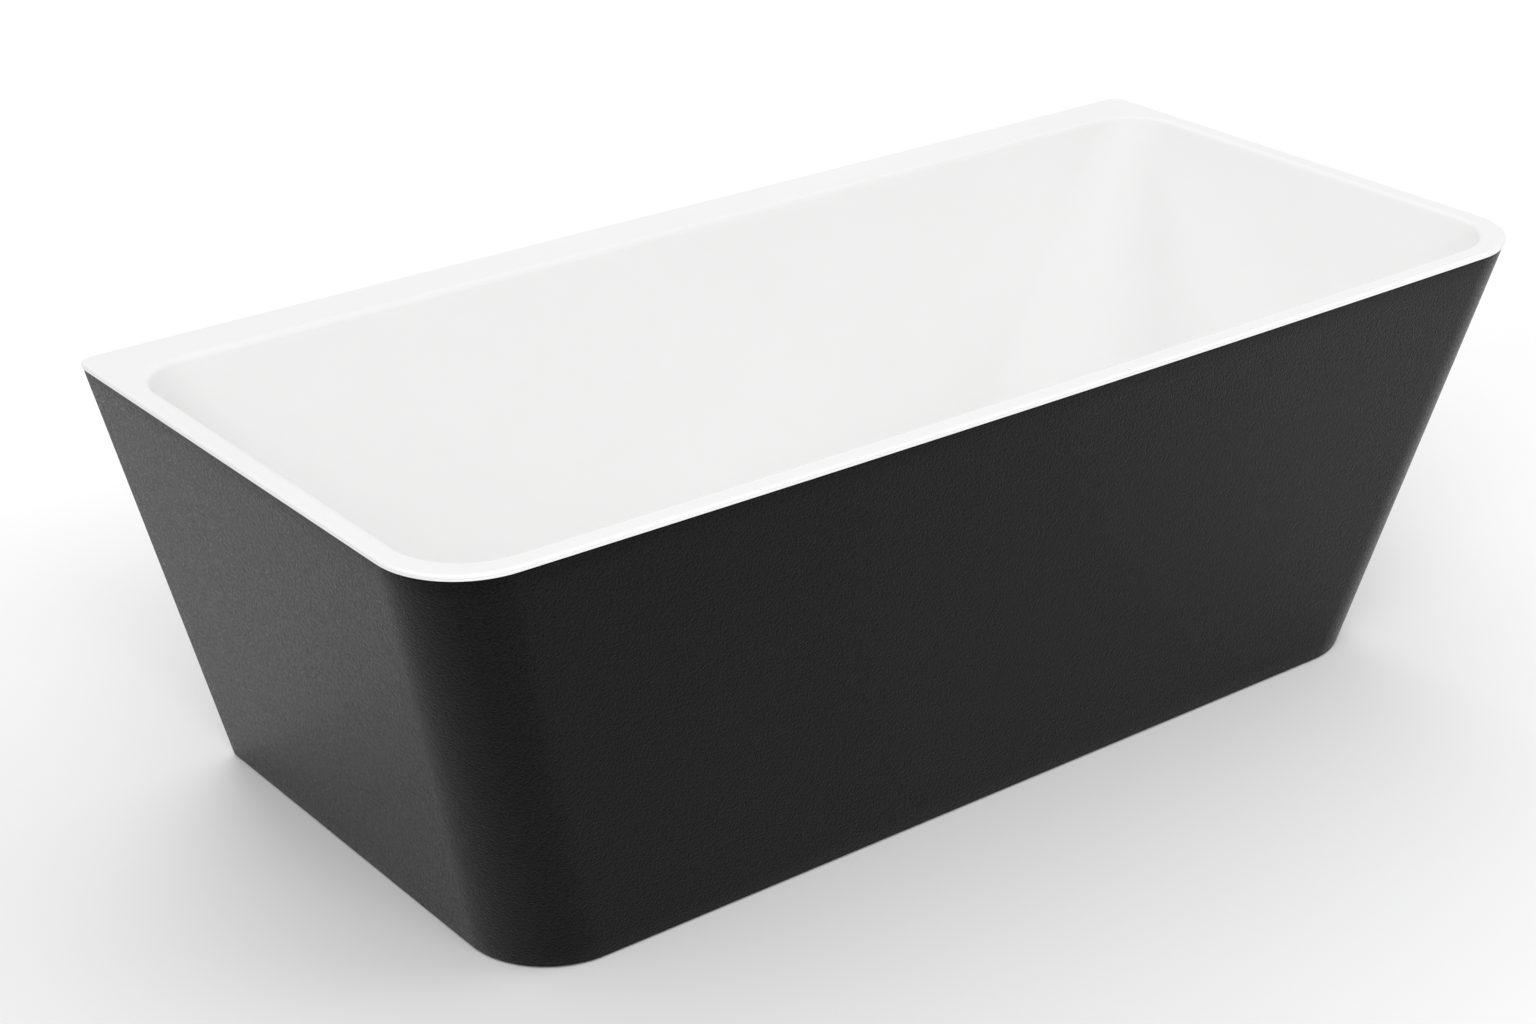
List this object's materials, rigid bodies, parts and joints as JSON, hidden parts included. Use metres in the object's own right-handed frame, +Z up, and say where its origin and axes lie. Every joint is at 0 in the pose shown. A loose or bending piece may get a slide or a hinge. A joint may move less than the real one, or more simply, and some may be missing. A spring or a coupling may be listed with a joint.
{
  "type": "freestanding bathtub",
  "caption": "Freestanding bathtub with a white acrylic basin in a tapering black skirt, upright at the back, with a wide rear ledge, click-clack waste, overflow and levelling feet.",
  "frame": {"origin": "floor level, under the middle of the rim's outline", "axes": "+X along the tub's length, away from the waste end; +Y towards the upright back; +Z up"},
  "size_m": [1.6982, 0.8053, 0.585],
  "materials": {
    "white_acrylic": "high gloss sanitary acrylic",
    "black_skirt": "matt, fine grain",
    "fibreglass": "rough sprayed laminate",
    "particle_board": "raw board",
    "softwood": "sawn",
    "galvanised_steel": "galvanised, spangled",
    "zinc_plated_steel": "bright zinc",
    "foot_plastic": "moulded nylon",
    "chrome": "polished",
    "rubber": "matt",
    "brass": "turned",
    "white_pipe_plastic": "moulded"
  },
  "bodies": {
    "tub": {"base_board": "particle_board", "basin_laminate": "fibreglass", "basin_shell": "white_acrylic", "board_screws": "zinc_plated_steel", "bracket_screws": "zinc_plated_steel", "foot_lock_nuts": "zinc_plated_steel", "foot_weld_nuts": "zinc_plated_steel", "frame_cross_centre": "galvanised_steel", "frame_cross_left": "galvanised_steel", "frame_cross_right": "galvanised_steel", "frame_rail_back": "galvanised_steel", "frame_rail_front": "galvanised_steel", "outer_skirt": "black_skirt", "overflow_cover": "chrome", "overflow_elbow": "white_pipe_plastic", "overflow_flange": "white_pipe_plastic", "overflow_front_seal": "rubber", "overflow_lower_nut": "white_pipe_plastic", "overflow_pipe": "white_pipe_plastic", "overflow_rear_seal": "rubber", "overflow_screw": "chrome", "overflow_upper_nut": "white_pipe_plastic", "plug_cartridge": "brass", "rim_batten_back": "softwood", "rim_batten_front": "softwood", "rim_batten_left": "softwood", "rim_batten_right": "softwood", "skirt_bracket_back_centre": "galvanised_steel", "skirt_bracket_back_left": "galvanised_steel", "skirt_bracket_back_right": "galvanised_steel", "skirt_bracket_front_centre": "galvanised_steel", "skirt_bracket_front_left": "galvanised_steel", "skirt_bracket_front_right": "galvanised_steel", "skirt_laminate": "fibreglass", "waste_body": "white_pipe_plastic", "waste_bottom_seal": "rubber", "waste_flange": "chrome", "waste_top_seal": "rubber"},
    "plug": {"plug_cap": "chrome", "plug_seal": "rubber", "plug_stem": "brass"},
    "pad_centre": {"foot_pad_centre": "foot_plastic"},
    "stud_centre": {"foot_stud_centre": "zinc_plated_steel"},
    "pad_front_left": {"foot_pad_front_left": "foot_plastic"},
    "stud_front_left": {"foot_stud_front_left": "zinc_plated_steel"},
    "pad_back_left": {"foot_pad_back_left": "foot_plastic"},
    "stud_back_left": {"foot_stud_back_left": "zinc_plated_steel"},
    "pad_front_right": {"foot_pad_front_right": "foot_plastic"},
    "stud_front_right": {"foot_stud_front_right": "zinc_plated_steel"},
    "pad_back_right": {"foot_pad_back_right": "foot_plastic"},
    "stud_back_right": {"foot_stud_back_right": "zinc_plated_steel"}
  },
  "joints": [
    {"name": "plug_lift", "type": "slide", "parent": "tub", "child": "plug", "axis": [0, 0, 1], "range_m": [0, 0.009]},
    {"name": "foot_travel_centre", "type": "slide", "parent": "tub", "child": "pad_centre", "axis": [0, 0, -1], "range_m": [-0.003, 0.012]},
    {"name": "foot_spin_centre", "type": "hinge", "parent": "pad_centre", "child": "stud_centre", "pos_m": [0, 0.017, 0], "axis": [0, 0, -1], "range_deg": [-617.2, 2468.7]},
    {"name": "foot_travel_front_left", "type": "slide", "parent": "tub", "child": "pad_front_left", "axis": [0, 0, -1], "range_m": [-0.003, 0.012]},
    {"name": "foot_spin_front_left", "type": "hinge", "parent": "pad_front_left", "child": "stud_front_left", "pos_m": [-0.52, -0.215, 0], "axis": [0, 0, -1], "range_deg": [-617.2, 2468.7]},
    {"name": "foot_travel_back_left", "type": "slide", "parent": "tub", "child": "pad_back_left", "axis": [0, 0, -1], "range_m": [-0.003, 0.012]},
    {"name": "foot_spin_back_left", "type": "hinge", "parent": "pad_back_left", "child": "stud_back_left", "pos_m": [-0.52, 0.315, 0], "axis": [0, 0, -1], "range_deg": [-617.2, 2468.7]},
    {"name": "foot_travel_front_right", "type": "slide", "parent": "tub", "child": "pad_front_right", "axis": [0, 0, -1], "range_m": [-0.003, 0.012]},
    {"name": "foot_spin_front_right", "type": "hinge", "parent": "pad_front_right", "child": "stud_front_right", "pos_m": [0.52, -0.215, 0], "axis": [0, 0, -1], "range_deg": [-617.2, 2468.7]},
    {"name": "foot_travel_back_right", "type": "slide", "parent": "tub", "child": "pad_back_right", "axis": [0, 0, -1], "range_m": [-0.003, 0.012]},
    {"name": "foot_spin_back_right", "type": "hinge", "parent": "pad_back_right", "child": "stud_back_right", "pos_m": [0.52, 0.315, 0], "axis": [0, 0, -1], "range_deg": [-617.2, 2468.7]}
  ],
  "couplings": [
    {"joint": "foot_spin_centre", "follows": "foot_travel_centre", "rad_per_m": 3590.4},
    {"joint": "foot_spin_front_left", "follows": "foot_travel_front_left", "rad_per_m": 3590.4},
    {"joint": "foot_spin_back_left", "follows": "foot_travel_back_left", "rad_per_m": 3590.4},
    {"joint": "foot_spin_front_right", "follows": "foot_travel_front_right", "rad_per_m": 3590.4},
    {"joint": "foot_spin_back_right", "follows": "foot_travel_back_right", "rad_per_m": 3590.4}
  ]
}
